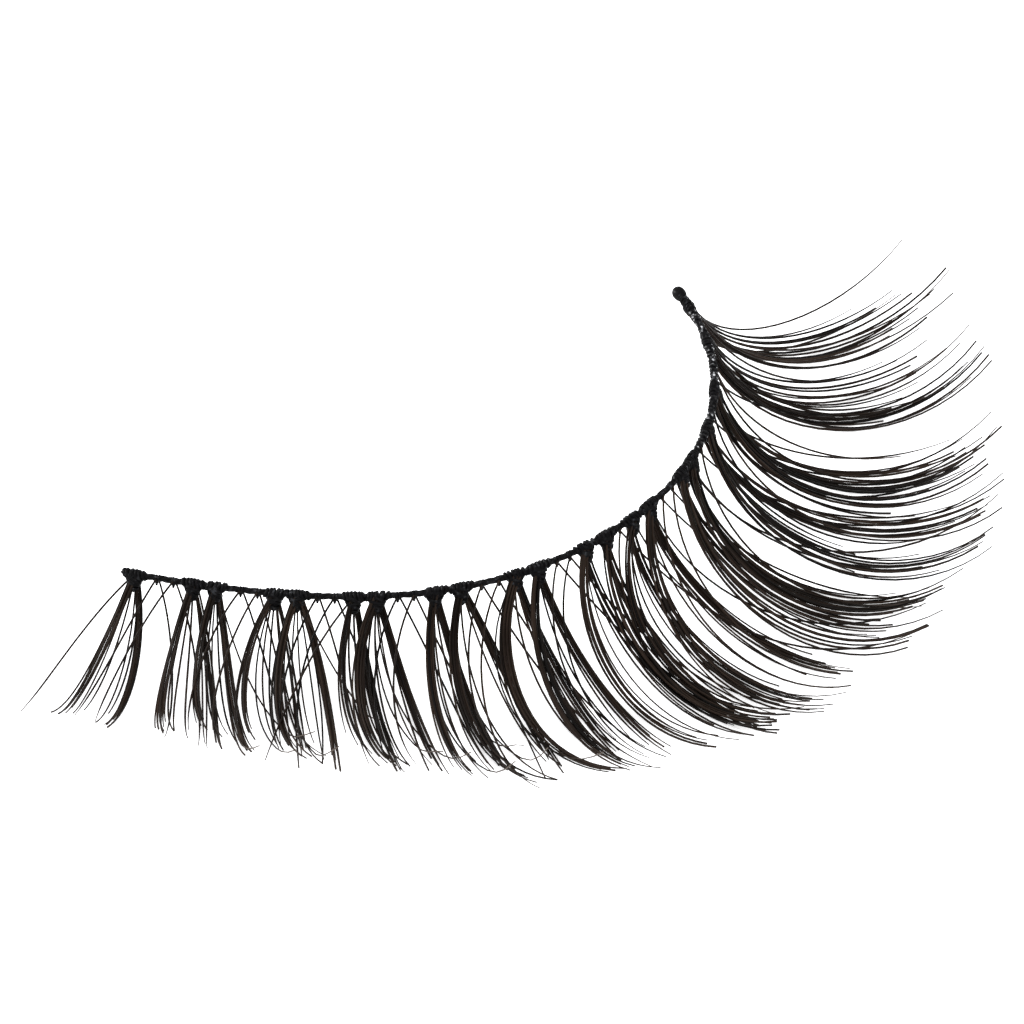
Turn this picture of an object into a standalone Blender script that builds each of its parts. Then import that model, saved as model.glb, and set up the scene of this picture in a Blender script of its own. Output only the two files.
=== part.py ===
"""False eyelash strip for the upper lid of the left eye.

A fine waxed thread, the band, follows the lid. Twenty-one tufts of hair are knotted
round it, each a knot with two or three flat locks that lean apart, cross their neighbours'
locks and curl up at the tips. The strip lies on a surface on the bellies of its locks:
+X runs from the inner to the outer corner of the eye, the lashes point to -Y and
the eyelid lies in the hollow on the +Y side.
"""

from collections import namedtuple

import bmesh
import bpy
import numpy as np

MM = 0.001

# The band: straight at the inner end, then turning ever tighter into an arc
BAND_LENGTH = 31.7 * MM
BAND_ARC_RADIUS = 10.3 * MM
BAND_BEND_STARTS = 1.0 * MM
BAND_BEND_FULL = 14.5 * MM
BAND_START_HEADING = -53.0
BAND_START = (-14.11 * MM, 9.47 * MM)
BAND_HEIGHT_INNER = 2.5 * MM
BAND_HEIGHT_OUTER = 4.0 * MM
BAND_RISE_LENGTH = 20.0 * MM
THREAD_RADIUS = 0.14 * MM
THREAD_RADIUS_OUTER = 0.19 * MM
THREAD_THICKENS = (15.0 * MM, 22.0 * MM)
LID_FLAT_ANGLE = 120.0
THREAD_SIDES = 7
THREAD_STEP = 1.2 * MM

# Tiny knots of single hairs, and the beads that seal the two ends of the thread
SMALL_KNOTS = (1.3, 1.9, 4.3, 4.9, 7.0, 7.6, 9.75, 10.3, 12.6, 13.2, 15.3, 15.8, 17.9,
               20.1, 20.7, 22.95, 24.75, 25.3, 26.9, 29.4)
SMALL_KNOT_GROWTH = 0.06 * MM
SMALL_KNOT_HALF_LENGTH = 0.13 * MM
END_BEAD_LENGTH = 0.5 * MM
BeadSection = namedtuple("BeadSection", "inwards radius")
INNER_BEAD = (BeadSection(0.0, 0.08 * MM), BeadSection(0.15 * MM, 0.17 * MM))
OUTER_BEAD = (
    BeadSection(0.375 * MM, 0.24 * MM),
    BeadSection(0.125 * MM, 0.24 * MM),
    BeadSection(0.0, 0.08 * MM),
)

# A tuft: the knot's sections go from above the thread down to where the locks leave
KnotSection = namedtuple("KnotSection", "down half_width half_depth")
KNOT_SECTIONS = (
    KnotSection(-0.38 * MM, 0.20 * MM, 0.16 * MM),
    KnotSection(-0.16 * MM, 0.35 * MM, 0.34 * MM),
    KnotSection(0.18 * MM, 0.36 * MM, 0.35 * MM),
    KnotSection(0.48 * MM, 0.27 * MM, 0.27 * MM),
    KnotSection(0.76 * MM, 0.20 * MM, 0.20 * MM),
)
KNOT_SIDES = 8

# The stretch of thread a knot covers on each side of its station, and the tunnel for it
TUFT_FOOTPRINT = 0.39 * MM
TUNNEL_CLEARANCE = 0.05 * MM
TUNNEL_SIDES = 8

# The locks: flat strips of parallel hairs, widest a third of the way along
ROOT_PITCH = -68.0
ROOT_DEPTH = 0.50 * MM
LOCK_THICKNESS = 0.13 * MM
LAYER_GAP = 0.22 * MM
LOCK_STATIONS = 9
LOCK_CORNERS = ((1.0, 0.0), (0.6, 1.0), (-0.6, 1.0), (-1.0, 0.0), (-0.6, -1.0), (0.6, -1.0))
LockSection = namedtuple("LockSection", "along width thickness")
LOCK_PROFILE = (
    LockSection(0.0, 0.50, 1.00),
    LockSection(0.25, 1.00, 1.00),
    LockSection(0.70, 0.90, 0.85),
    LockSection(1.0, 0.40, 0.45),
)

# Each tuft is knotted on at a station, its distance along the band in millimetres.
# Leans are degrees towards the outer corner at a lock's root and tip, the pitch is
# the tip's rise in degrees above the horizontal, and the width is in millimetres.
FRONT = 1
BACK = 0
Lock = namedtuple("Lock", "layer root_lean tip_lean tip_pitch width")
Tuft = namedtuple("Tuft", "station locks")
TUFTS = (
    Tuft(0.5, (Lock(FRONT, -16, 4, 40, 0.36), Lock(BACK, 14, -2, 34, 0.40))),
    Tuft(2.6, (Lock(FRONT, -14, 26, 40, 0.40), Lock(BACK, 20, 22, 38, 0.36))),
    Tuft(3.42, (Lock(FRONT, -14, 34, 22, 0.36), Lock(BACK, 14, 32, 32, 0.36))),
    Tuft(5.5, (Lock(FRONT, -26, 36, 14, 0.32), Lock(BACK, 20, 20, 18, 0.36))),
    Tuft(6.3, (Lock(FRONT, -18, 42, 26, 0.44), Lock(BACK, 25, 16, 20, 0.36))),
    Tuft(8.25, (Lock(FRONT, -15, 35, 8, 0.34), Lock(BACK, 12, 25, 12, 0.36))),
    Tuft(9.05, (Lock(FRONT, -23, 43, 18, 0.50), Lock(BACK, 17, 26, 10, 0.40))),
    Tuft(11.0, (Lock(FRONT, -12, 28, 24, 0.42), Lock(BACK, 12, 21, 12, 0.36))),
    Tuft(11.9, (Lock(FRONT, -18, 40, 28, 0.42), Lock(BACK, 24, 13, 12, 0.40))),
    Tuft(13.8, (Lock(FRONT, -28, 42, 25, 0.50), Lock(BACK, 11, 14, 12, 0.36))),
    Tuft(14.62, (Lock(FRONT, -20, 26, 26, 0.46), Lock(BACK, 10, 15, 18, 0.40))),
    Tuft(16.45, (Lock(FRONT, -24, 27, 24, 0.44), Lock(BACK, 2, 21, 26, 0.36))),
    Tuft(17.3, (Lock(FRONT, -18, 26, 28, 0.36), Lock(BACK, 0, 8, 26, 0.40))),
    Tuft(18.5, (Lock(FRONT, -36, 30, 25, 0.36), Lock(BACK, -7, 13, 25, 0.44))),
    Tuft(19.4, (Lock(FRONT, -30, 14, 30, 0.40), Lock(BACK, 2, 8, 24, 0.40))),
    Tuft(21.4, (Lock(FRONT, -23, 14, 40, 0.44), Lock(BACK, -8, 8, 22, 0.44))),
    Tuft(22.2, (Lock(FRONT, -27, 22, 34, 0.40), Lock(BACK, -16, 25, 45, 0.44))),
    Tuft(24.0, (Lock(FRONT, -24, 13, 44, 0.46), Lock(BACK, 2, 10, 48, 0.44),
               Lock(BACK, -10, -4, 4, 0.38))),
    Tuft(26.0, (Lock(FRONT, -21, 19, 40, 0.44), Lock(BACK, -7, 16, 46, 0.46),
               Lock(BACK, -20, 6, 18, 0.36))),
    Tuft(28.7, (Lock(FRONT, 6, 7, 29, 0.44), Lock(BACK, -9, 1, 20, 0.40),
               Lock(BACK, -16, 16, 46, 0.32))),
    Tuft(30.8, (Lock(FRONT, 7, -1, 35, 0.40), Lock(BACK, 0, -2, 48, 0.36),
               Lock(FRONT, -12, 4, 36, 0.30))),
)

CREASE_ANGLE = 40.0
UP = np.array((0.0, 0.0, 1.0))


def smoothstep(value, start, end):
    """Rises from 0 at start to 1 at end, level at both."""
    share = np.clip((value - start) / (end - start), 0.0, 1.0)
    return share * share * (3.0 - 2.0 * share)


def band_curve(samples=1201):
    """Stations, points and headings of the band's centre line.

    Its curvature grows smoothly from nothing to that of the arc, its heading is the
    sum of the curvature, and its points are the sum of the headings' directions.
    """
    station = np.linspace(0.0, BAND_LENGTH, samples)
    step = station[1] - station[0]
    curvature = smoothstep(station, BAND_BEND_STARTS, BAND_BEND_FULL) / BAND_ARC_RADIUS
    heading = np.radians(BAND_START_HEADING) + running_sum(curvature, step)
    x = BAND_START[0] + running_sum(np.cos(heading), step)
    y = BAND_START[1] + running_sum(np.sin(heading), step)
    rise = smoothstep(station, 0.0, BAND_RISE_LENGTH)
    z = BAND_HEIGHT_INNER + (BAND_HEIGHT_OUTER - BAND_HEIGHT_INNER) * rise
    return station, np.stack((x, y, z), axis=1), heading


def running_sum(values, step):
    """Integral of evenly spaced values from the first of them to each."""
    middles = 0.5 * (values[1:] + values[:-1])
    return np.concatenate(((0.0,), np.cumsum(middles) * step))


STATIONS, BAND_POINTS, HEADINGS = band_curve()


def band_frame(station):
    """Point on the band, its direction along the lid, and the way the lashes point."""
    point = np.array([np.interp(station, STATIONS, BAND_POINTS[:, axis]) for axis in range(3)])
    heading = np.interp(station, STATIONS, HEADINGS)
    along = np.array((np.cos(heading), np.sin(heading), 0.0))
    outward = np.array((np.sin(heading), -np.cos(heading), 0.0))
    return point, along, outward


def droop_frame(outward):
    """The way a lock leaves the knot, and the way square to it that faces up and out."""
    pitch = np.radians(ROOT_PITCH)
    down = np.cos(pitch) * outward + np.sin(pitch) * UP
    face = -np.sin(pitch) * outward + np.cos(pitch) * UP
    return down, face


def lock_path(station, lock, samples=65):
    """Points along a lock, with the directions of its width and of its flat face.

    Pitch goes evenly from the root's to the tip's, so the lock is an arc, and the lean
    along the band goes evenly too. The arc is scaled so that its belly rests on the
    surface. A front lock lies a layer's gap above a back one, along the face.
    """
    point, along, outward = band_frame(station)
    share = np.linspace(0.0, 1.0, samples)
    pitch = np.radians(ROOT_PITCH + (lock.tip_pitch - ROOT_PITCH) * share)
    lean = np.radians(lock.root_lean + (lock.tip_lean - lock.root_lean) * share)
    in_plane = np.outer(np.cos(pitch), outward) + np.outer(np.sin(pitch), UP)
    direction = np.cos(lean)[:, None] * in_plane + np.outer(np.sin(lean), along)
    turn = np.radians(lock.tip_pitch - ROOT_PITCH)
    middles = 0.5 * (direction[1:] + direction[:-1])
    unit = np.concatenate((np.zeros((1, 3)), np.cumsum(middles, axis=0) * turn / (samples - 1)))
    root = point - 0.5 * LAYER_GAP * droop_frame(outward)[1]
    radius = (root[2] - 0.5 * LOCK_THICKNESS) / -unit[:, 2].min()
    width_way = along - (direction @ along)[:, None] * direction
    width_way /= np.linalg.norm(width_way, axis=1)[:, None]
    face_way = np.cross(width_way, direction)
    face_way *= np.sign(face_way[0] @ UP)
    points = root + radius * unit + lock.layer * LAYER_GAP * face_way
    return points, width_way, face_way


def spaced_along(points, start, count):
    """Places, as fractions of the samples, evenly spaced along a path after a start."""
    steps = np.linalg.norm(np.diff(points, axis=0), axis=1)
    length = np.concatenate(((0.0,), np.cumsum(steps)))
    wanted = np.linspace(start, length[-1], count)
    return np.interp(wanted, length, np.arange(len(points)))


def sampled(rows, places):
    """Rows of an array read at fractional places."""
    index = np.arange(len(rows))
    return np.stack([np.interp(places, index, rows[:, axis]) for axis in range(3)], axis=1)


def lock_rings(station, lock):
    """Six-sided flat sections of one lock, from inside the knot to the tip."""
    points, width_way, face_way = lock_path(station, lock)
    places = spaced_along(points, ROOT_DEPTH, LOCK_STATIONS)
    centres = sampled(points, places)
    across = sampled(width_way, places)
    facing = sampled(face_way, places)
    share = np.linspace(0.0, 1.0, LOCK_STATIONS)
    stops = [section.along for section in LOCK_PROFILE]
    widths = np.interp(share, stops, [section.width for section in LOCK_PROFILE])
    depths = np.interp(share, stops, [section.thickness for section in LOCK_PROFILE])
    half_width = 0.5 * lock.width * MM * widths
    half_depth = 0.5 * LOCK_THICKNESS * depths
    rings = []
    for index in range(LOCK_STATIONS):
        ring = [
            centres[index] + side * half_width[index] * across[index]
            + face * half_depth[index] * facing[index]
            for side, face in LOCK_CORNERS
        ]
        rings.append(ring)
    return rings


def knot_rings(station):
    """Eight-sided sections of the knot, from above the thread to below it."""
    point, along, outward = band_frame(station)
    down, face = droop_frame(outward)
    angles = np.radians((np.arange(KNOT_SIDES) + 0.5) * 360.0 / KNOT_SIDES)
    rings = []
    for section in KNOT_SECTIONS:
        centre = point + section.down * down
        ring = [
            centre + section.half_width * np.cos(angle) * along
            + section.half_depth * np.sin(angle) * face
            for angle in angles
        ]
        rings.append(ring)
    return rings


def thread_radius(station):
    """Radius of the thread: thicker outwards, swelling at each tiny knot and end bead."""
    growth = smoothstep(station, THREAD_THICKENS[0], THREAD_THICKENS[1])
    radius = THREAD_RADIUS + (THREAD_RADIUS_OUTER - THREAD_RADIUS) * growth
    for knot in SMALL_KNOTS:
        offset = abs(station - knot * MM)
        radius += SMALL_KNOT_GROWTH * (1.0 - smoothstep(offset, 0.0, SMALL_KNOT_HALF_LENGTH))
    return radius


def thread_stations():
    """Stations of the thread's sections: at the edges of every knot, and between them."""
    stops = [END_BEAD_LENGTH, BAND_LENGTH - END_BEAD_LENGTH]
    for knot in SMALL_KNOTS:
        middle = knot * MM
        stops += [middle - SMALL_KNOT_HALF_LENGTH, middle, middle + SMALL_KNOT_HALF_LENGTH]
    for tuft in TUFTS:
        middle = tuft.station * MM
        stops += [middle - TUFT_FOOTPRINT, middle + TUFT_FOOTPRINT]
    stops = sorted(stop for stop in stops if stop >= END_BEAD_LENGTH)
    stations = [stops[0]]
    for stop in stops[1:]:
        runs = int(np.ceil((stop - stations[-1]) / THREAD_STEP))
        stations += list(np.linspace(stations[-1], stop, runs + 1)[1:])
    return stations


def thread_ring(station, radius):
    """Round section of the thread with a flat on the side that is glued to the lid."""
    point, along, outward = band_frame(station)
    angles = np.radians(np.linspace(-LID_FLAT_ANGLE, LID_FLAT_ANGLE, THREAD_SIDES))
    return [point + radius * (np.cos(angle) * outward + np.sin(angle) * UP) for angle in angles]


def thread_rings():
    """Sections of the whole thread, with a bead at each end."""
    rings = [thread_ring(bead.inwards, bead.radius) for bead in INNER_BEAD]
    rings += [thread_ring(station, thread_radius(station)) for station in thread_stations()]
    rings += [thread_ring(BAND_LENGTH - bead.inwards, bead.radius) for bead in OUTER_BEAD]
    return rings


def tunnel_rings(station):
    """Straight prism that clears the thread where it runs through a knot."""
    point, along, outward = band_frame(station)
    half_length = 2.0 * TUFT_FOOTPRINT
    flat_radius = thread_radius(station) + TUNNEL_CLEARANCE
    radius = flat_radius / np.cos(np.pi / TUNNEL_SIDES)
    angles = np.radians((np.arange(TUNNEL_SIDES) + 0.5) * 360.0 / TUNNEL_SIDES)
    rings = []
    for offset in (-half_length, half_length):
        centre = point + offset * along
        ring = [
            centre + radius * (np.cos(angle) * outward + np.sin(angle) * UP)
            for angle in angles
        ]
        rings.append(ring)
    return rings


def clear_scene():
    """Start from an empty scene."""
    for existing in list(bpy.data.objects):
        bpy.data.objects.remove(existing, do_unlink=True)


def principled(name, colour, roughness):
    """A plain non-metal finish."""
    material = bpy.data.materials.new(name)
    material.use_nodes = True
    shader = material.node_tree.nodes["Principled BSDF"]
    shader.inputs["Base Color"].default_value = (*colour, 1.0)
    shader.inputs["Roughness"].default_value = roughness
    shader.inputs["Metallic"].default_value = 0.0
    return material


def lofted(name, rings):
    """Closed body that joins rings of the same number of corners, capped at both ends."""
    shape = bmesh.new()
    loops = [[shape.verts.new(corner) for corner in ring] for ring in rings]
    count = len(loops[0])
    for lower, upper in zip(loops, loops[1:]):
        for corner in range(count):
            after = (corner + 1) % count
            shape.faces.new((lower[corner], lower[after], upper[after], upper[corner]))
    shape.faces.new(reversed(loops[0]))
    shape.faces.new(loops[-1])
    bmesh.ops.recalc_face_normals(shape, faces=shape.faces)
    mesh = bpy.data.meshes.new(name)
    shape.to_mesh(mesh)
    shape.free()
    body = bpy.data.objects.new(name, mesh)
    bpy.context.scene.collection.objects.link(body)
    return body


def combine(body, tool, operation):
    """Join the tool to the body, or cut it away, and remove the tool."""
    tool.hide_render = True
    tool.display_type = "WIRE"
    step = body.modifiers.new(tool.name, "BOOLEAN")
    step.operation = operation
    step.solver = "EXACT"
    step.object = tool
    evaluated = body.evaluated_get(bpy.context.evaluated_depsgraph_get())
    mesh = bpy.data.meshes.new_from_object(evaluated)
    body.modifiers.clear()
    body.data = mesh
    mesh.name = body.name
    bpy.data.objects.remove(tool, do_unlink=True)


def finish(body, material):
    """Give a body its material and smooth, lightly creased shading."""
    body.data.materials.clear()
    body.data.materials.append(material)
    body.data.shade_smooth()
    body.data.set_sharp_from_angle(angle=np.radians(CREASE_ANGLE))


def make_band(material):
    """The waxed thread with its tiny knots and sealed ends."""
    band = lofted("lash_band", thread_rings())
    finish(band, material)


def make_tuft(number, tuft, material):
    """A knot round the thread with its locks fused to it."""
    station = tuft.station * MM
    body = lofted(f"lash_tuft_{number:02d}", knot_rings(station))
    for lock in tuft.locks:
        combine(body, lofted("lock", lock_rings(station, lock)), "UNION")
    combine(body, lofted("thread_tunnel", tunnel_rings(station)), "DIFFERENCE")
    finish(body, material)


clear_scene()
make_band(principled("waxed_black_thread", (0.012, 0.011, 0.011), 0.45))
hair = principled("dark_brown_hair", (0.022, 0.016, 0.013), 0.40)
for tuft_number, tuft_row in enumerate(TUFTS, start=1):
    make_tuft(tuft_number, tuft_row, hair)
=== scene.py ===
from collections import namedtuple

import bpy
import numpy as np
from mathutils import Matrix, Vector


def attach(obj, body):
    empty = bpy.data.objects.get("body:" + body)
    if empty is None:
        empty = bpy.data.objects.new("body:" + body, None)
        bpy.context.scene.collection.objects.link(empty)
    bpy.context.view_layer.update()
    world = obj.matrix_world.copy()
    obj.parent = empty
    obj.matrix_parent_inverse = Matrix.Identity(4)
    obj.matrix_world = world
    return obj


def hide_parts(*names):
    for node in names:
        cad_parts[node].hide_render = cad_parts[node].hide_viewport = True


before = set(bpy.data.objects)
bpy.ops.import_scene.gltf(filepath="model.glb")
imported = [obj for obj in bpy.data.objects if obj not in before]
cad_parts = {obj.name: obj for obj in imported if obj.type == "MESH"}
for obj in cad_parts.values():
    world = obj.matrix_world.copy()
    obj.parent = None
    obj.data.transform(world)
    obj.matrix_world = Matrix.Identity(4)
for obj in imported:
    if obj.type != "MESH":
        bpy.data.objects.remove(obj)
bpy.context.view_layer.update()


# Light table and tent
# The strip lies on a white acrylic light table inside a photographer's light tent. The
# table glows a little, which takes the shadows out. A wide soft light hangs overhead,
# and the tent's pale walls fill the rest.
MM = 0.001
TABLE_WIDTH = 900.0
TABLE_WHITE = "FDFDFD"
TABLE_GLOW = 0.55
TABLE_TOOTH = 1.11
TABLE_TOOTH_DEPTH = 0.02
TENT_WHITE = "F4F5F8"
TENT_STRENGTH = 0.85
VIEW_AZIMUTH = -38.0
VIEW_ELEVATION = 42.0
VIEW_DISTANCE = 195.0
VIEW_TARGET = (-2.69, 2.32, 4.0)
VIEW_STARTS = 10.0
LENS = 200.0
SENSOR = 36.0
SoftLight = namedtuple("SoftLight", "name azimuth elevation distance width watts")
SOFT_LIGHTS = (
    SoftLight("overhead_softbox", 20.0, 78.0, 420.0, 700.0, 2.4),
    SoftLight("back_wall", 214.0, 16.0, 480.0, 120.0, 2.4),
)


def linear(colour):
    """sRGB hex to linear: (c + 0.055) / 1.055 to the power 2.4 above the toe."""
    parts = np.array([int(colour[start:start + 2], 16) for start in (0, 2, 4)]) / 255.0
    curved = ((parts + 0.055) / 1.055) ** 2.4
    return (*np.where(parts <= 0.04045, parts / 12.92, curved), 1.0)


def add_node(tree, kind, inputs=None, **settings):
    """Add a node with its settings, and set each named input or link it to an output."""
    made = tree.nodes.new(kind)
    for name, value in settings.items():
        setattr(made, name, value)
    for name, value in (inputs or {}).items():
        if isinstance(value, bpy.types.NodeSocket):
            tree.links.new(value, made.inputs[name])
        else:
            made.inputs[name].default_value = value
    return made


def new_material(name):
    """An empty node material and its tree."""
    material = bpy.data.materials.new(name)
    material.use_nodes = True
    material.node_tree.nodes.clear()
    return material, material.node_tree


def seen_from(azimuth, elevation, distance, target):
    """Where something stands: a distance from the target, turned from -Y and raised."""
    turn, rise = np.radians((azimuth, elevation))
    way = np.array((np.sin(turn) * np.cos(rise), -np.cos(turn) * np.cos(rise), np.sin(rise)))
    return Vector((np.array(target) + distance * way) * MM)


def aim(thing, place, target):
    """Stand a light or the camera at a place, with its -Z axis towards the target."""
    thing.location = place
    away = place - Vector(target) * MM
    thing.rotation_euler = away.to_track_quat("Z", "Y").to_euler()
    bpy.context.scene.collection.objects.link(thing)


def opal_acrylic():
    """Matt opal acrylic lit from behind: an even white with the faintest tooth."""
    material, tree = new_material("matt_opal_acrylic")
    place = add_node(tree, "ShaderNodeTexCoord").outputs["Object"]
    tooth = add_node(tree, "ShaderNodeTexNoise", {
        "Vector": place, "Scale": 1.0 / (TABLE_TOOTH * MM), "Detail": 2.0})
    bump = add_node(tree, "ShaderNodeBump", {
        "Height": tooth.outputs["Fac"], "Strength": 0.02, "Distance": TABLE_TOOTH_DEPTH * MM})
    acrylic = add_node(tree, "ShaderNodeBsdfPrincipled", {
        "Base Color": linear(TABLE_WHITE), "Roughness": 0.85, "Specular IOR Level": 0.2,
        "Normal": bump.outputs["Normal"],
        "Emission Color": linear(TABLE_WHITE), "Emission Strength": TABLE_GLOW})
    add_node(tree, "ShaderNodeOutputMaterial", {"Surface": acrylic.outputs["BSDF"]})
    return material


for row in SOFT_LIGHTS:
    lamp = bpy.data.lights.new(row.name, "AREA")
    lamp.shape = "SQUARE"
    lamp.size = row.width * MM
    lamp.energy = row.watts
    place = seen_from(row.azimuth, row.elevation, row.distance, VIEW_TARGET)
    aim(bpy.data.objects.new(row.name, lamp), place, VIEW_TARGET)

tent = bpy.data.worlds.new("light_tent")
tent.use_nodes = True
tent.node_tree.nodes.clear()
walls = add_node(tent.node_tree, "ShaderNodeBackground",
                 {"Color": linear(TENT_WHITE), "Strength": TENT_STRENGTH})
add_node(tent.node_tree, "ShaderNodeOutputWorld", {"Surface": walls.outputs["Background"]})
bpy.context.scene.world = tent
bpy.context.scene.view_settings.view_transform = "Standard"

lens = bpy.data.cameras.new("camera")
lens.lens = LENS
lens.sensor_width = SENSOR
lens.clip_start = VIEW_STARTS * MM
camera = bpy.data.objects.new("camera", lens)
aim(camera, seen_from(VIEW_AZIMUTH, VIEW_ELEVATION, VIEW_DISTANCE, VIEW_TARGET), VIEW_TARGET)
bpy.context.scene.camera = camera

half = 0.5 * TABLE_WIDTH * MM
table_mesh = bpy.data.meshes.new("light_table")
table_mesh.from_pydata([(-half, -half, 0), (half, -half, 0), (half, half, 0), (-half, half, 0)],
                      [], [(0, 1, 2, 3)])
table_mesh.materials.append(opal_acrylic())
table = bpy.data.objects.new("light_table", table_mesh)
bpy.context.scene.collection.objects.link(table)


# Band thread
# The strip's backbone is a cotton thread of three plies, twisted, waxed and dyed black.
# It follows the lid in a curve that tightens towards the outer corner. It starts in a
# frayed point, and at the outer end it is sealed in a drop of wax.

# Millimetres and degrees. The curve was fitted to points picked on the photo, and
# its values were then rounded. The heights are guessed from the droop of the hairs.
BAND_LENGTH = 31.7
BAND_ARC_RADIUS = 10.3
BAND_BEND_STARTS = 1.0
BAND_BEND_FULL = 14.5
BAND_START_HEADING = -53.0
BAND_START = (-14.11, 9.47)
BAND_HEIGHT_INNER = 2.5
BAND_HEIGHT_OUTER = 4.0
BAND_RISE_LENGTH = 20.0
BAND_SAMPLES = 2001
THREAD_RADIUS = 0.12
POINT_RADIUS_SHARE = 0.35
POINT_LENGTH = 0.45
PLIES = 3
PLY_TWIST = 1.1
PLY_CENTRE_SHARE = 0.42
PLY_RADIUS_SHARE = 0.60
PLY_STEPS_A_TURN = 12
PLY_SIDES = 7
DROP_STATION = 31.45
DROP_HALF_LENGTH = 0.36
DROP_RADIUS = 0.24
DROP_SIDES = 18
DROP_RINGS = 12
DROP_POLE = 0.06
DROP_FULLER_INWARDS = 0.18
UP = np.array((0.0, 0.0, 1.0))
THREAD_BLACK = "050506"
THREAD_WORN = "0F0E0F"
# Painted glints: the grey of the small highlights painted on the band and the knots.
PAINTED_GLINT_GREY = "2A2B2E"
# Painted highlight: the white of the glints painted on the outer coil.
PAINTED_HIGHLIGHT_WHITE = "C9CACD"
TWIST_FIBRE = 0.05
SPECK_SPACING = 0.16
FIBRE_RELIEF = 0.012
WAX_IOR = 1.45


def smoothstep(value, start, end):
    """Rises from 0 at start to 1 at end, level at both."""
    share = np.clip((value - start) / (end - start), 0.0, 1.0)
    return share * share * (3.0 - 2.0 * share)


def running_sum(values, step):
    """Integral of evenly spaced values from the first of them to each."""
    middles = 0.5 * (values[1:] + values[:-1])
    return np.concatenate(((0.0,), np.cumsum(middles) * step))


def band_curve():
    """Stations, points and headings of the band's centre line.

    The curvature grows smoothly from nothing to that of the arc. The heading is its
    running sum, and the points are the running sums of the heading's cosine and sine.
    """
    station = np.linspace(0.0, BAND_LENGTH, BAND_SAMPLES)
    step = station[1] - station[0]
    curvature = smoothstep(station, BAND_BEND_STARTS, BAND_BEND_FULL) / BAND_ARC_RADIUS
    heading = np.radians(BAND_START_HEADING) + running_sum(curvature, step)
    x = BAND_START[0] + running_sum(np.cos(heading), step)
    y = BAND_START[1] + running_sum(np.sin(heading), step)
    rise = smoothstep(station, 0.0, BAND_RISE_LENGTH)
    z = BAND_HEIGHT_INNER + (BAND_HEIGHT_OUTER - BAND_HEIGHT_INNER) * rise
    return station, np.stack((x, y, z), axis=1), heading


STATIONS, BAND_POINTS, HEADINGS = band_curve()


def on_band(station):
    """Points on the band, its direction along the lid, and the way the lashes point."""
    station = np.asarray(station, float)
    point = np.stack([np.interp(station, STATIONS, BAND_POINTS[:, axis]) for axis in range(3)], -1)
    heading = np.interp(station, STATIONS, HEADINGS)
    level = np.zeros_like(heading)
    along = np.stack((np.cos(heading), np.sin(heading), level), -1)
    outward = np.stack((np.sin(heading), -np.cos(heading), level), -1)
    return point, along, outward


def unit(vectors):
    """Vectors cut to length one."""
    return vectors / np.linalg.norm(vectors, axis=-1, keepdims=True)


def tubes(paths, side_ways, radii, sides, closed=False):
    """Round tubes as one set of vertices and faces.

    paths and side_ways are (tube, point, xyz), and radii is (tube, point). A corner is
    the point plus the radius times (cosine x side + sine x the way square to it).
    Open tubes are capped at both ends, and closed ones run round into themselves.
    """
    if closed:
        run = np.roll(paths, -1, axis=1) - np.roll(paths, 1, axis=1)
    else:
        run = np.gradient(paths, axis=1)
    run = unit(run)
    second = unit(np.cross(run, side_ways))
    first = np.cross(second, run)
    angle = 2.0 * np.pi * np.arange(sides) / sides
    around = (np.cos(angle)[:, None] * first[:, :, None, :]
              + np.sin(angle)[:, None] * second[:, :, None, :])
    vertices = paths[:, :, None, :] + radii[:, :, None, None] * around
    index = np.arange(vertices[..., 0].size).reshape(vertices.shape[:3])
    here, after = index, np.roll(index, -1, axis=2)
    if closed:
        ahead, ahead_after = np.roll(here, -1, axis=1), np.roll(after, -1, axis=1)
    else:
        ahead, ahead_after = here[:, 1:], after[:, 1:]
        here, after = here[:, :-1], after[:, :-1]
    faces = np.stack((here, after, ahead_after, ahead), -1).reshape(-1, 4).tolist()
    if not closed:
        faces += index[:, 0, ::-1].tolist() + index[:, -1, :].tolist()
    return vertices.reshape(-1, 3), faces


def joined(parts):
    """Several sets of vertices and faces as one set."""
    vertices, faces, start = [], [], 0
    for points, corners in parts:
        vertices.append(points)
        faces += [[corner + start for corner in face] for face in corners]
        start += len(points)
    return np.concatenate(vertices), faces


def put_in(name, vertices, faces, material, replaced=(), tones=None):
    """A finished piece from vertices in millimetres, riding on the strip's one body."""
    mesh = bpy.data.meshes.new(name)
    mesh.from_pydata((vertices * MM).tolist(), [], faces)
    for label, values in (tones or {}).items():
        layer = mesh.attributes.new(label, "FLOAT", "POINT")
        layer.data.foreach_set("value", np.asarray(values, np.float32))
    mesh.materials.append(material)
    mesh.shade_smooth()
    piece = bpy.data.objects.new(name, mesh)
    bpy.context.scene.collection.objects.link(piece)
    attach(piece, "root")
    if replaced:
        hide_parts(*replaced)


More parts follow.
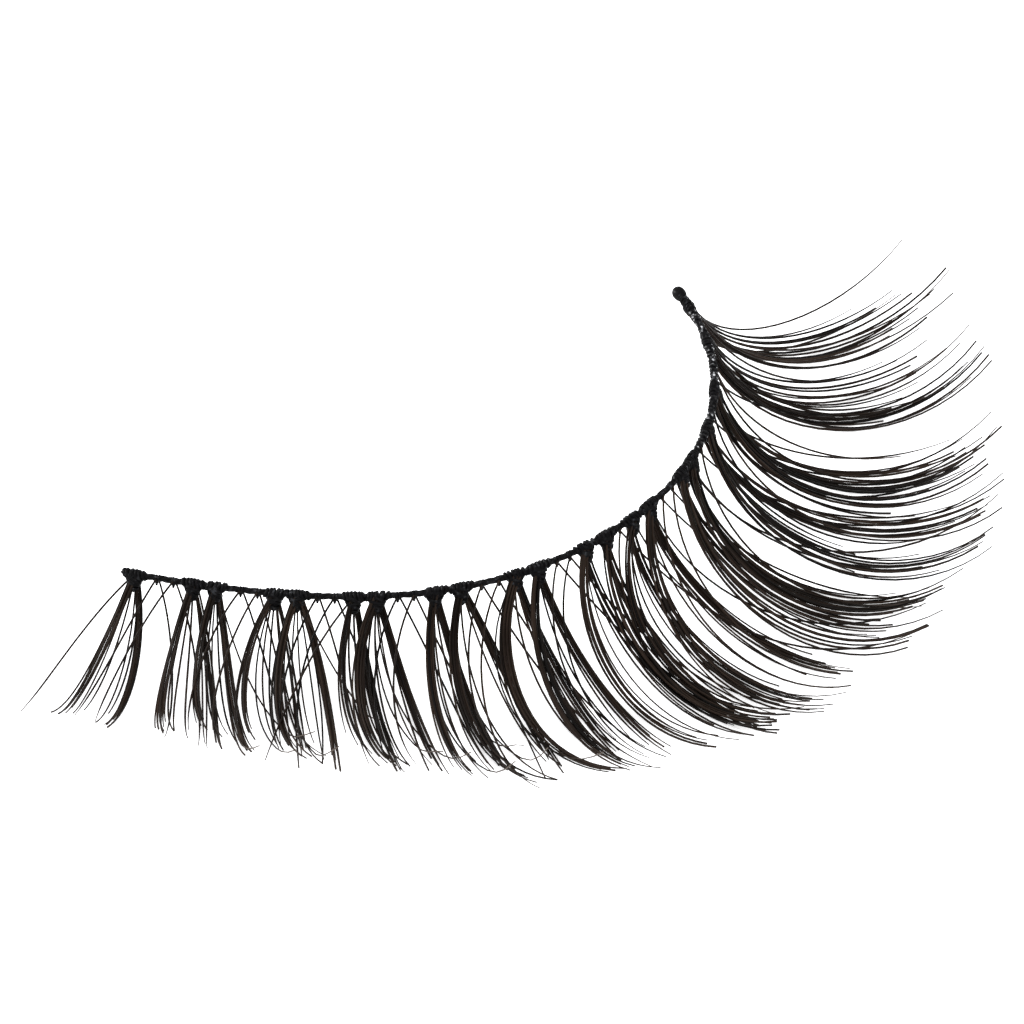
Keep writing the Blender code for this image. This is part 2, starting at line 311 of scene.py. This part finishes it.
def waxed_thread(name, painted_glint_colour, coat, coat_roughness):
    """Waxed cotton thread: dull black fibres under a broken skin of glossy wax, with pale flecks
    painted on as highlights.
    """
    material, tree = new_material(name)
    place = add_node(tree, "ShaderNodeTexCoord").outputs["Object"]
    fibres = add_node(tree, "ShaderNodeTexNoise", {
        "Vector": place, "Scale": 1.0 / (TWIST_FIBRE * MM), "Detail": 3.0, "Roughness": 0.6})
    patches = add_node(tree, "ShaderNodeTexNoise", {
        "Vector": place, "Scale": 1.0 / (SPECK_SPACING * MM), "Detail": 2.0})
    cotton = add_node(tree, "ShaderNodeMix", {
        "Factor": fibres.outputs["Fac"], "A": linear(THREAD_BLACK), "B": linear(THREAD_WORN)},
        data_type="RGBA")
    # Painted highlights: where the patch noise is highest the colour turns to the glint colour, in
    # place of glints of light on the wax.
    painted_glints = add_node(tree, "ShaderNodeMapRange", {
        "Value": patches.outputs["Fac"], "From Min": 0.60, "From Max": 0.70})
    colour = add_node(tree, "ShaderNodeMix", {
        "Factor": painted_glints.outputs["Result"], "B": linear(painted_glint_colour)}, data_type="RGBA")
    tree.links.new(cotton.outputs["Result"], colour.inputs["A"])
    skin = add_node(tree, "ShaderNodeMapRange", {
        "Value": patches.outputs["Fac"], "From Min": 0.46, "From Max": 0.62, "To Max": coat})
    bump = add_node(tree, "ShaderNodeBump", {
        "Height": fibres.outputs["Fac"], "Strength": 0.7, "Distance": FIBRE_RELIEF * MM})
    thread = add_node(tree, "ShaderNodeBsdfPrincipled", {
        "Base Color": colour.outputs["Result"], "Roughness": 0.6,
        "IOR": WAX_IOR, "Specular IOR Level": 0.05, "Normal": bump.outputs["Normal"],
        "Coat Weight": skin.outputs["Result"], "Coat Roughness": coat_roughness,
        "Coat IOR": WAX_IOR})
    add_node(tree, "ShaderNodeOutputMaterial", {"Surface": thread.outputs["BSDF"]})
    return material


def band_plies():
    """Three plies, each a helix round the band's curve, thinner in its first half millimetre.

    A ply's centre is the band's point plus a share of the radius times (cosine of the
    twist x outward + sine x up), and neighbouring plies are a third of a turn apart.
    """
    turns = BAND_LENGTH / PLY_TWIST
    station = np.linspace(0.0, BAND_LENGTH, int(turns * PLY_STEPS_A_TURN))
    point, _, outward = on_band(station)
    growth = smoothstep(station, 0.0, POINT_LENGTH)
    radius = THREAD_RADIUS * (POINT_RADIUS_SHARE + (1.0 - POINT_RADIUS_SHARE) * growth)
    twist = 2.0 * np.pi * (station / PLY_TWIST + np.arange(PLIES)[:, None] / PLIES)
    spoke = np.cos(twist)[..., None] * outward + np.sin(twist)[..., None] * UP
    paths = point + PLY_CENTRE_SHARE * radius[:, None] * spoke
    radii = np.broadcast_to(PLY_RADIUS_SHARE * radius, paths.shape[:2])
    return tubes(paths, spoke, radii, PLY_SIDES)


def wax_drop():
    """The drop at the outer end: circles of radius sine(angle) along a half turn."""
    point, along, outward = on_band(DROP_STATION)
    angle = np.linspace(DROP_POLE, np.pi - DROP_POLE, DROP_RINGS)
    around = 2.0 * np.pi * np.arange(DROP_SIDES) / DROP_SIDES
    spoke = np.cos(around)[:, None] * outward + np.sin(around)[:, None] * UP
    swell = DROP_RADIUS * np.sin(angle) * (1.0 - DROP_FULLER_INWARDS * np.cos(angle))
    corners = (point - DROP_HALF_LENGTH * np.cos(angle)[:, None, None] * along
               + swell[:, None, None] * spoke)
    index = np.arange(DROP_RINGS * DROP_SIDES).reshape(DROP_RINGS, DROP_SIDES)
    after = np.roll(index, -1, axis=1)
    quads = np.stack((index[:-1], after[:-1], after[1:], index[1:]), -1).reshape(-1, 4)
    return corners.reshape(-1, 3), quads.tolist() + [index[0, ::-1].tolist(), index[-1].tolist()]


# The band's and the knots' grey specks are painted glints.
THREAD = waxed_thread("waxed_cotton_thread", PAINTED_GLINT_GREY, 0.15, 0.25)
vertices, faces = joined((band_plies(), wax_drop()))
put_in("band_thread", vertices, faces, THREAD, ["lash_band"])


# Lashes
# The lashes are crimped PBT fibre, dyed a brown that is nearly black. A tuft's hairs
# leave the band in flat locks: the front lock swings towards the inner corner before it
# curls outward, and the back lock crosses behind it. Single hairs fill between the two.
FRONT = 1
BACK = 0
ROOT_PITCH = -68.0
LAYER_GAP = 0.22
LOCK_THICKNESS = 0.13
HAIR_RADIUS = 0.044
SINGLE_RADIUS = 0.036
HAIR_SPACING = 0.049
LAYER_OFFSET = 0.03
PARTING_SHARE = 0.34
TIP_GATHER = 0.55
GATHER_STARTS = 0.3
NARROWING_STARTS = 0.70
PALING_STARTS = 0.78
TABLE_CLEARANCE = 0.01
ROOT_FAN = 0.2
TIP_FAN = 1.5
RIBBON_FAN = 0.5
RIBBON_LIFT = 0.6
RIBBON_REACH = (0.84, 1.02)
RIBBON_WAVE = (0.2, 1.0)
RIBBON_PALE = 0.10
PARTING_PLACE = 0.8
PARTING_FAN = (1.5, 5.0)
PARTING_LIFT = (-5.0, 5.0)
PARTING_REACH = (0.78, 1.06)
HAIR_THICKNESSES = (0.85, 1.06)
HAIR_TIP_SHARES = (0.5, 0.85)
SINGLE_SPILL = 0.12
SINGLE_PLACES = (0.1, 0.9)
SINGLE_LEAN = (-3.0, 3.0)
SINGLE_PITCH = (-6.0, 4.0)
SINGLE_REACH = (0.82, 1.06)
SINGLE_WAVE = 0.8
SINGLE_THICKNESSES = (0.85, 1.1)
SINGLE_PALE = 0.15
WAVE_PHASES = (0.0, 6.28)
HAIR_SIDES = 6
HAIR_POINTS = 21
ARC_SAMPLES = 61
HOOK_SHARE = 0.80
HAIR_DARK = "060403"
HAIR_BROWN = "372B23"
HAIR_TIP = "5F5751"
DYE_PATCH = 1.43
Lock = namedtuple("Lock", "layer root_lean tip_lean tip_pitch hairs")
Tuft = namedtuple("Tuft", "station spread singles locks")

# Stations are millimetres along the band, and leans and pitches are degrees. Most were
# fitted to points picked along the hairs of the photo, and were then rounded.
TUFTS = (
    Tuft(0.5, 0.02, 4, (Lock(FRONT, -16, 4, 40, 5), Lock(BACK, 14, -2, 34, 5))),
    Tuft(2.6, 0.02, 5, (Lock(FRONT, -14, 26, 40, 6), Lock(BACK, 20, 22, 38, 4))),
    Tuft(3.42, 0.02, 5, (Lock(FRONT, -14, 34, 22, 5), Lock(BACK, 14, 32, 32, 5))),
    Tuft(5.5, 0.02, 5, (Lock(FRONT, -26, 36, 14, 4), Lock(BACK, 20, 20, 18, 3))),
    Tuft(6.3, 0.02, 5, (Lock(FRONT, -18, 42, 26, 6), Lock(BACK, 25, 16, 20, 5))),
    Tuft(8.25, 0.02, 5, (Lock(FRONT, -15, 35, 8, 4), Lock(BACK, 12, 25, 12, 4))),
    Tuft(9.05, 0.02, 5, (Lock(FRONT, -23, 43, 18, 7), Lock(BACK, 17, 26, 10, 5))),
    Tuft(11.0, 0.02, 4, (Lock(FRONT, -12, 28, 24, 6), Lock(BACK, 12, 21, 12, 5))),
    Tuft(11.9, 0.02, 4, (Lock(FRONT, -18, 40, 28, 6), Lock(BACK, 24, 13, 12, 5))),
    Tuft(13.8, 0.02, 3, (Lock(FRONT, -28, 42, 25, 8), Lock(BACK, 11, 14, 12, 6))),
    Tuft(14.62, 0.02, 3, (Lock(FRONT, -20, 26, 26, 7), Lock(BACK, 10, 15, 18, 6))),
    Tuft(16.45, 0.04, 4, (Lock(FRONT, -24, 27, 24, 7), Lock(BACK, 2, 21, 26, 6))),
    Tuft(17.3, 0.04, 4, (Lock(FRONT, -18, 26, 28, 6), Lock(BACK, 0, 8, 26, 7))),
    Tuft(18.5, 0.04, 4, (Lock(FRONT, -36, 30, 25, 6), Lock(BACK, -7, 13, 25, 7))),
    Tuft(19.4, 0.06, 5, (Lock(FRONT, -30, 14, 30, 7), Lock(BACK, 2, 8, 24, 7))),
    Tuft(21.4, 0.06, 4, (Lock(FRONT, -23, 14, 40, 7), Lock(BACK, -8, 8, 22, 6))),
    Tuft(22.2, 0.06, 4, (Lock(FRONT, -27, 22, 34, 6), Lock(BACK, -16, 25, 45, 7))),
    Tuft(24.0, 0.15, 4, (Lock(FRONT, -24, 13, 44, 7), Lock(BACK, 2, 10, 48, 7),
                         Lock(BACK, -10, -4, 4, 5))),
    Tuft(26.0, 0.20, 4, (Lock(FRONT, -21, 19, 40, 7), Lock(BACK, -7, 16, 46, 7),
                         Lock(BACK, -20, 6, 18, 4))),
    Tuft(28.7, 0.20, 4, (Lock(FRONT, 6, 7, 29, 6), Lock(BACK, -9, 1, 20, 6),
                         Lock(BACK, -16, 16, 46, 5))),
    Tuft(30.8, 0.12, 2, (Lock(FRONT, 7, -1, 35, 6), Lock(BACK, 0, -2, 48, 4),
                         Lock(FRONT, -12, 4, 36, 4))),
)


def droop_frame(outward):
    """The way a lock leaves the band, and the way square to it that faces up and out."""
    pitch = np.radians(ROOT_PITCH)
    down = np.cos(pitch) * outward + np.sin(pitch) * UP
    face = -np.sin(pitch) * outward + np.cos(pitch) * UP
    return down, face


def dots(first, second):
    """Dot products of two sets of vectors, kept as one more axis."""
    return np.sum(first * second, axis=-1, keepdims=True)


def arcs(station, layer, root_lean, tip_lean, tip_pitch, reach, hook, wave, phase):
    """Paths of hairs that leave the band, as (hair, point, xyz).

    Pitch goes evenly from the root's to the tip's and lean from the root's to the
    tip's, with a slow wave on the lean, so a hair is an arc that swings sideways. Its
    radius lets its belly just touch the table. reach is where it ends, as a share, and
    hook is how many degrees more its last fifth curls up.
    """
    numbers = np.broadcast_arrays(
        station, layer, root_lean, tip_lean, tip_pitch, reach, hook, wave, phase)
    station, layer, root_lean, tip_lean, tip_pitch, reach, hook, wave, phase = [
        np.atleast_1d(values).astype(float)[:, None] for values in numbers]
    point, along, outward = on_band(station)
    place = np.linspace(0.0, 1.0, ARC_SAMPLES)
    share = place * reach
    curl = hook * np.clip((place - HOOK_SHARE) / (1.0 - HOOK_SHARE), 0.0, 1.0) ** 2
    pitch = np.radians(ROOT_PITCH + (tip_pitch - ROOT_PITCH) * share + curl)
    lean = np.radians(root_lean + (tip_lean - root_lean) * share
                      + wave * np.sin(2.0 * np.pi * share + phase) * share)
    in_plane = np.cos(pitch)[..., None] * outward + np.sin(pitch)[..., None] * UP
    way = np.cos(lean)[..., None] * in_plane + np.sin(lean)[..., None] * along
    middles = 0.5 * (way[:, 1:] + way[:, :-1])
    turn = np.radians(tip_pitch - ROOT_PITCH) * reach
    steps = middles * (turn / (ARC_SAMPLES - 1))[..., None]
    flat = np.concatenate((np.zeros_like(steps[:, :1]), np.cumsum(steps, axis=1)), axis=1)
    root = point - 0.5 * LAYER_GAP * droop_frame(outward)[1]
    radius = (root[..., 2:] - 0.5 * LOCK_THICKNESS) / -flat[..., 2:].min(axis=1, keepdims=True)
    across = unit(along - dots(way, along) * way)
    facing = np.cross(across, way)
    facing = facing * np.sign(dots(facing[:, :1], UP))
    paths = root + radius * flat + LAYER_GAP * layer[..., None] * facing
    pick = np.linspace(0, ARC_SAMPLES - 1, HAIR_POINTS).round().astype(int)
    return paths[:, pick], across[:, pick], facing[:, pick]


def hair_tubes(paths, across, radius, tip_share, pale, random):
    """Hairs as tubes, with a tone for each hair and how far each point has paled.

    A hair narrows to its tip's share of the radius, and pale says how pale its tip is.
    """
    count = len(paths)
    share = np.linspace(0.0, 1.0, HAIR_POINTS)
    tip_share = np.broadcast_to(tip_share, count)[:, None]
    narrowing = 1.0 - (1.0 - tip_share) * smoothstep(share, NARROWING_STARTS, 1.0)
    radii = np.broadcast_to(radius, count)[:, None] * narrowing
    paths = paths.copy()
    paths[..., 2] = np.maximum(paths[..., 2], radii + TABLE_CLEARANCE)
    vertices, faces = tubes(paths, across, radii, HAIR_SIDES)
    corners = HAIR_POINTS * HAIR_SIDES
    paling = np.repeat(smoothstep(share, PALING_STARTS, 1.0), HAIR_SIDES)
    tones = {
        "tone": np.repeat(random.random(count), corners),
        "fade": np.repeat(np.broadcast_to(pale, count), corners) * np.tile(paling, count),
    }
    return vertices, faces, tones


def lock_hairs(tuft, lock, random):
    """One lock: a ribbon of hairs side by side in two layers, and a few that part from it.

    A hair's place across the ribbon sets its offset, which shrinks towards the tip, and a
    little extra lean. The parting hairs lean away from the ribbon more and more.
    """
    parting = int(PARTING_SHARE * lock.hairs)
    ribbon = lock.hairs - parting
    side = np.where(np.arange(parting) % 2, 1.0, -1.0)
    place = np.concatenate((np.linspace(-1.0, 1.0, ribbon), PARTING_PLACE * side))
    fan = np.concatenate((np.linspace(-RIBBON_FAN, RIBBON_FAN, ribbon),
                          side * random.uniform(*PARTING_FAN, parting)))
    lift = np.concatenate((random.normal(0.0, RIBBON_LIFT, ribbon),
                           random.uniform(*PARTING_LIFT, parting)))
    reach = np.concatenate((random.uniform(*RIBBON_REACH, ribbon),
                            random.uniform(*PARTING_REACH, parting)))
    paths, across, facing = arcs(
        tuft.station + tuft.spread * place, lock.layer, lock.root_lean + ROOT_FAN * fan,
        lock.tip_lean + TIP_FAN * fan, lock.tip_pitch + lift, reach, 0.0,
        random.uniform(*RIBBON_WAVE, lock.hairs), random.uniform(*WAVE_PHASES, lock.hairs))
    along_hair = np.linspace(0.0, 1.0, HAIR_POINTS)
    gather = 1.0 - TIP_GATHER * smoothstep(along_hair, GATHER_STARTS, 1.0)
    offset = 0.5 * HAIR_SPACING * (ribbon - 1) * place[:, None] * gather
    paths = paths + offset[..., None] * across
    depth = LAYER_OFFSET * np.where(np.arange(lock.hairs) % 2, 1.0, -1.0)
    paths = paths + depth[:, None, None] * facing
    radius = np.where(np.arange(lock.hairs) < ribbon, HAIR_RADIUS, SINGLE_RADIUS)
    radius = radius * random.uniform(*HAIR_THICKNESSES, lock.hairs)
    tip_share = np.where(random.random(lock.hairs) < 0.5, *HAIR_TIP_SHARES)
    return hair_tubes(paths, across, radius, tip_share, RIBBON_PALE, random)


def single_hairs(tuft, random):
    """Hairs that leave one by one, evenly from the front lock's lean to the back one's."""
    front = min(tuft.locks, key=lambda lock: lock.root_lean)
    back = max(tuft.locks, key=lambda lock: lock.root_lean)
    count = tuft.singles
    share = (np.arange(count) + random.uniform(*SINGLE_PLACES, count)) / count
    share = share * (1.0 + 2.0 * SINGLE_SPILL) - SINGLE_SPILL
    root_lean = front.root_lean + (back.root_lean - front.root_lean) * share
    tip_lean = front.tip_lean + (back.tip_lean - front.tip_lean) * share
    tip_pitch = front.tip_pitch + (back.tip_pitch - front.tip_pitch) * share
    paths, across, _ = arcs(
        tuft.station + tuft.spread * random.uniform(-1.0, 1.0, count), 1.0 - share, root_lean,
        tip_lean + random.uniform(*SINGLE_LEAN, count),
        tip_pitch + random.uniform(*SINGLE_PITCH, count),
        random.uniform(*SINGLE_REACH, count), 0.0, SINGLE_WAVE,
        random.uniform(*WAVE_PHASES, count))
    radius = SINGLE_RADIUS * random.uniform(*SINGLE_THICKNESSES, count)
    tip_share = random.uniform(*HAIR_TIP_SHARES, count)
    return hair_tubes(paths, across, radius, tip_share, SINGLE_PALE, random)


def gathered(parts):
    """Hair tubes as one set, with their tones kept in order."""
    vertices, faces = joined([part[:2] for part in parts])
    tones = {label: np.concatenate([part[2][label] for part in parts]) for label in ("tone", "fade")}
    return vertices, faces, tones


def pbt_fibre():
    """Drawn PBT fibre: smooth, satin, nearly black, with browner hairs and pale thin tips."""
    material, tree = new_material("dyed_pbt_fibre")
    tone = add_node(tree, "ShaderNodeAttribute", attribute_name="tone").outputs["Fac"]
    fade = add_node(tree, "ShaderNodeAttribute", attribute_name="fade").outputs["Fac"]
    place = add_node(tree, "ShaderNodeTexCoord").outputs["Object"]
    dye = add_node(tree, "ShaderNodeTexNoise", {
        "Vector": place, "Scale": 1.0 / (DYE_PATCH * MM), "Detail": 2.0})
    blend = add_node(tree, "ShaderNodeMath", {0: tone, 1: dye.outputs["Fac"]},
                     operation="MULTIPLY")
    body = add_node(tree, "ShaderNodeMix", {
        "Factor": blend.outputs["Value"], "A": linear(HAIR_DARK), "B": linear(HAIR_BROWN)},
        data_type="RGBA")
    colour = add_node(tree, "ShaderNodeMix", {"Factor": fade, "B": linear(HAIR_TIP)},
                      data_type="RGBA")
    tree.links.new(body.outputs["Result"], colour.inputs["A"])
    fibre = add_node(tree, "ShaderNodeBsdfPrincipled", {
        "Base Color": colour.outputs["Result"], "Roughness": 0.45, "IOR": 1.5,
        "Specular IOR Level": 0.06})
    add_node(tree, "ShaderNodeOutputMaterial", {"Surface": fibre.outputs["BSDF"]})
    return material


FIBRE = pbt_fibre()
for number, tuft in enumerate(TUFTS, start=1):
    random = np.random.default_rng(number)
    parts = [lock_hairs(tuft, lock, random) for lock in tuft.locks]
    parts.append(single_hairs(tuft, random))
    vertices, faces, tones = gathered(parts)
    put_in(f"tuft_{number:02d}", vertices, faces, FIBRE,
           [f"lash_tuft_{number:02d}"], tones)


# Net hairs
# From every small knot two fine hairs leave in a V and cross the next knot's, so that
# they make a loose net above the lashes before they fall in with them.
SMALL_KNOTS = (1.3, 1.9, 4.3, 4.9, 7.0, 7.6, 9.75, 10.3, 12.6, 13.2, 15.3, 15.8, 17.9,
               20.1, 20.7, 22.95, 24.75, 25.3, 26.9, 29.4)
NET_RADIUS = 0.038
NET_LEAN = (-27.0, 24.0)
NET_LAYERS = (FRONT, BACK)
NET_ROOT_LEAN = (-4.0, 4.0)
NET_TIP_LEAN = (-6.0, 6.0)
NET_PITCH = (-8.0, 4.0)
NET_REACH = (0.84, 1.0)
NET_WAVE = 1.0
NET_TIP_SHARE = 0.4
NET_PALE = 0.4
NET_SEED = 80
net = []
random = np.random.default_rng(NET_SEED)
flow_stations = [tuft.station for tuft in TUFTS]
flow_lean = [np.mean([lock.tip_lean for lock in tuft.locks]) for tuft in TUFTS]
flow_pitch = [np.mean([lock.tip_pitch for lock in tuft.locks]) for tuft in TUFTS]
stations = np.array(SMALL_KNOTS)
for layer, root_lean in zip(NET_LAYERS, NET_LEAN):
    count = len(stations)
    paths, across, _ = arcs(
        stations, layer, root_lean + random.uniform(*NET_ROOT_LEAN, count),
        np.interp(stations, flow_stations, flow_lean) + random.uniform(*NET_TIP_LEAN, count),
        np.interp(stations, flow_stations, flow_pitch) + random.uniform(*NET_PITCH, count),
        random.uniform(*NET_REACH, count), 0.0, NET_WAVE, random.uniform(*WAVE_PHASES, count))
    net.append(hair_tubes(paths, across, NET_RADIUS, NET_TIP_SHARE, NET_PALE, random))


# Stray hairs
# Some long hairs are combed out of their locks: they rise over the others at the outer
# corner, or end in a thin pale hook where the crimp was not drawn out.
STRAY_REACH = 1.0
STRAY_WAVE = 1.0
STRAY_SEED = 7
LONG_RADIUS = 0.038
HOOKED_RADIUS = 0.031
LONG_TIP_SHARE = 0.5
HOOKED_TIP_SHARE = 0.65
LONG_PALE = 0.3
HOOKED_PALE = 1.0
Stray = namedtuple("Stray", "station layer root_lean tip_lean tip_pitch hook")

# Most of these too were fitted to points picked on the photo, and then rounded.
STRAYS = (
    Stray(0.5, BACK, -41, 0, 23, 0),
    Stray(8.25, FRONT, -36, -1, 12, 0),
    Stray(18.5, FRONT, 8, 37, 43, 0),
    Stray(19.4, FRONT, 5, 42, 38, 0),
    Stray(21.4, BACK, -6, 32, 45, 0),
    Stray(22.2, BACK, 8, 16, 45, 0),
    Stray(22.2, BACK, 5, 42, 49, 0),
    Stray(23.7, BACK, 2, 26, 49, 0),
    Stray(25.5, BACK, 0, 29, 45, 0),
    Stray(25.5, BACK, -14, 33, 48, 0),
    Stray(26.9, FRONT, -6, 0, 10, 0),
    Stray(28.4, BACK, -11, 16, 48, 0),
    Stray(28.4, FRONT, -17, 12, 39, 0),
    Stray(28.4, BACK, 3, 15, 46, 0),
    Stray(30.4, FRONT, -19, 5, 29, 0),
    Stray(30.4, BACK, 3, 3, 50, 0),
    Stray(30.9, FRONT, 15, 7, 43, 0),
    Stray(5.5, FRONT, -26, 39, 36, 74),
    Stray(5.5, BACK, -19, 52, 31, 61),
    Stray(3.42, BACK, 19, 59, 24, 168),
    Stray(5.5, BACK, 6, 47, 33, 148),
    Stray(6.3, FRONT, 27, 51, -9, 222),
    Stray(9.05, FRONT, -6, 48, 17, 128),
    Stray(9.05, BACK, -2, 59, 19, 124),
    Stray(11.0, BACK, -17, 50, 26, 111),
    Stray(11.9, FRONT, -25, 48, 10, 177),
    Stray(11.9, BACK, -16, 48, 18, 136),
    Stray(13.8, FRONT, -40, 54, 20, 79),
)
random = np.random.default_rng(STRAY_SEED)
station, layer, root_lean, tip_lean, tip_pitch, hook = np.array(STRAYS, float).T
paths, across, _ = arcs(station, layer, root_lean, tip_lean, tip_pitch, STRAY_REACH, hook,
                        STRAY_WAVE, random.uniform(*WAVE_PHASES, len(STRAYS)))
hooked = hook > 0.0
net.append(hair_tubes(paths, across, np.where(hooked, HOOKED_RADIUS, LONG_RADIUS),
                      np.where(hooked, HOOKED_TIP_SHARE, LONG_TIP_SHARE),
                      np.where(hooked, HOOKED_PALE, LONG_PALE), random))
vertices, faces, tones = gathered(net)
put_in("single_hairs", vertices, faces, FIBRE, tones=tones)


# Binding knots
# Each tuft is tied on with black binding thread: a few turns round the band, then
# crossed turns over the hairs' folded ends. Between tufts a much smaller knot holds the
# single hairs, and at the outer end the binding runs on as a close coil.
BINDING_RADIUS = 0.062
SMALL_BINDING_RADIUS = 0.045
BINDING_SIDES = 6
TURN_POINTS = 14
KnotSection = namedtuple("KnotSection", "down half_width half_depth")
KNOT_SECTIONS = (
    KnotSection(-0.12, 0.03, 0.02),
    KnotSection(-0.08, 0.16, 0.09),
    KnotSection(0.04, 0.27, 0.15),
    KnotSection(0.16, 0.25, 0.16),
    KnotSection(0.30, 0.19, 0.14),
    KnotSection(0.46, 0.12, 0.11),
    KnotSection(0.62, 0.09, 0.09),
    KnotSection(0.66, 0.02, 0.02),
)
CORE_SIDES = 16
CORE_RINGS = 16
Turn = namedtuple("Turn", "down tilt phase")
KNOT_TURNS = (
    Turn(0.04, 0.10, 0.3), Turn(0.11, -0.14, 1.2), Turn(0.18, 0.15, 0.4),
    Turn(0.26, -0.12, 2.7), Turn(0.35, 0.08, 0.9), Turn(0.45, -0.04, 2.2),
)
BAND_TURN_OFFSETS = (-0.32, -0.19, -0.06, 0.08, 0.20, 0.33)
SMALL_TURN_OFFSETS = (-0.05, 0.05)
COIL_STARTS = 20.9
COIL_ENDS = 31.2
COIL_PITCH = 0.20
COIL_RING = 0.100
COIL_STEPS_A_TURN = 10
COIL_LONG_WAVE = 1.7
COIL_SHORT_WAVE = 0.61
COIL_SHORT_SHARE = 0.6
COIL_UNEVEN = 0.25
RING_WAVE = 0.93
RING_SWELL = 0.10
THREAD_WAVE = 0.47
THREAD_SWELL = 0.12
KNOT_SEED = 100
TURN_SCATTER = (0.02, 0.03, 0.5)
TURN_SEAT = 0.3
OFFSET_SCATTER = 0.02
BAND_TURN_RING = 0.115
BAND_TURN_HUMP = 0.03
HUMP_ANGLE = 1.4
BAND_TURN_SLANTS = (-0.06, 0.06)
SMALL_TURN_SLANT = 0.03
SMALL_TURN_RING = 0.088
SMALL_CORE_SIZE = 0.42


def knot_girth(down):
    """Half width and half depth of a knot at a depth, read from its sections."""
    stops = [section.down for section in KNOT_SECTIONS]
    width = np.interp(down, stops, [section.half_width for section in KNOT_SECTIONS])
    depth = np.interp(down, stops, [section.half_depth for section in KNOT_SECTIONS])
    return width, depth


def knot_core(station, size=1.0):
    """The folded hair ends inside a knot: ellipses of the knot's girth, stacked down it."""
    point, along, outward = on_band(station)
    down_way, face = droop_frame(outward)
    down = np.linspace(KNOT_SECTIONS[0].down, KNOT_SECTIONS[-1].down, CORE_RINGS)
    width, depth = knot_girth(down)
    angle = 2.0 * np.pi * np.arange(CORE_SIDES) / CORE_SIDES
    corners = (point + size * (down[:, None, None] * down_way
               + width[:, None, None] * np.cos(angle)[:, None] * along
               + depth[:, None, None] * np.sin(angle)[:, None] * face))
    index = np.arange(CORE_RINGS * CORE_SIDES).reshape(CORE_RINGS, CORE_SIDES)
    after = np.roll(index, -1, axis=1)
    quads = np.stack((index[:-1], index[1:], after[1:], after[:-1]), -1).reshape(-1, 4)
    faces = quads.tolist() + [index[0].tolist(), index[-1, ::-1].tolist()]
    return corners.reshape(-1, 3), faces


def crossed_turns(station, random):
    """Closed turns of binding thread round a knot, tilted one way and then the other.

    A point of a turn is at its depth plus the tilt times cosine(angle + phase), and
    lies on the knot's ellipse at that depth.
    """
    point, along, outward = on_band(station)
    down_way, face = droop_frame(outward)
    angle = 2.0 * np.pi * np.arange(TURN_POINTS) / TURN_POINTS
    row = np.array(KNOT_TURNS) + random.normal(0.0, TURN_SCATTER, (len(KNOT_TURNS), 3))
    down = row[:, :1] + row[:, 1:2] * np.cos(angle + row[:, 2:])
    width, depth = knot_girth(down)
    seat = TURN_SEAT * BINDING_RADIUS
    spoke = ((width + seat) * np.cos(angle))[..., None] * along
    spoke = spoke + ((depth + seat) * np.sin(angle))[..., None] * face
    paths = point + down[..., None] * down_way + spoke
    radii = np.full(paths.shape[:2], BINDING_RADIUS)
    return tubes(paths, spoke, radii, BINDING_SIDES, closed=True)


def band_turns(stations, slant, ring, radius):
    """Closed turns of binding thread round the band itself, each leaning along it."""
    stations = np.asarray(stations, float)
    angle = 2.0 * np.pi * np.arange(TURN_POINTS) / TURN_POINTS
    places = stations[:, None] + slant * np.sin(angle)
    point, _, outward = on_band(places)
    spoke = np.cos(angle)[:, None] * outward + np.sin(angle)[:, None] * UP
    paths = point + np.broadcast_to(ring, stations.shape)[:, None, None] * spoke
    radii = np.full(paths.shape[:2], radius)
    return tubes(paths, spoke, radii, BINDING_SIDES, closed=True)


def binding_coil():
    """The close coil at the outer end: a helix round the band with uneven turns."""
    station = np.linspace(COIL_STARTS, COIL_ENDS,
                          int((COIL_ENDS - COIL_STARTS) / COIL_PITCH * COIL_STEPS_A_TURN))
    point, _, outward = on_band(station)
    way_along = 2.0 * np.pi * station
    uneven = (np.sin(way_along / COIL_LONG_WAVE)
              + COIL_SHORT_SHARE * np.sin(way_along / COIL_SHORT_WAVE))
    turn = 2.0 * np.pi * (station / COIL_PITCH + COIL_UNEVEN * uneven)
    ring = COIL_RING * (1.0 + RING_SWELL * np.sin(way_along / RING_WAVE + uneven))
    spoke = np.cos(turn)[:, None] * outward + np.sin(turn)[:, None] * UP
    paths = point + ring[:, None] * spoke
    radii = BINDING_RADIUS * (1.0 + THREAD_SWELL * np.sin(way_along / THREAD_WAVE))
    return tubes(paths[None], spoke[None], radii[None], BINDING_SIDES)


for number, tuft in enumerate(TUFTS, start=1):
    random = np.random.default_rng(KNOT_SEED + number)
    scatter = random.normal(0.0, OFFSET_SCATTER, len(BAND_TURN_OFFSETS))
    offsets = np.array(BAND_TURN_OFFSETS) + scatter
    hump = np.cos(HUMP_ANGLE * offsets / BAND_TURN_OFFSETS[-1])
    ring = BAND_TURN_RING + BAND_TURN_HUMP * hump
    vertices, faces = joined((
        knot_core(tuft.station),
        crossed_turns(tuft.station, random),
        band_turns(tuft.station + offsets, random.choice(BAND_TURN_SLANTS), ring, BINDING_RADIUS),
    ))
    put_in(f"knot_{number:02d}", vertices, faces, THREAD)

vertices, faces = binding_coil()
# The coil has a real glossy coat, and its white flecks are painted highlights.
coil_gloss_and_painted_highlights = waxed_thread("glazed_thread_painted_highlights", PAINTED_HIGHLIGHT_WHITE, 0.8, 0.12)
put_in("binding_coil", vertices, faces, coil_gloss_and_painted_highlights)

small = []
for station in SMALL_KNOTS:
    small.append(band_turns(station + np.array(SMALL_TURN_OFFSETS), SMALL_TURN_SLANT,
                            SMALL_TURN_RING, SMALL_BINDING_RADIUS))
    small.append(knot_core(station, SMALL_CORE_SIZE))
vertices, faces = joined(small)
put_in("small_knots", vertices, faces, THREAD)
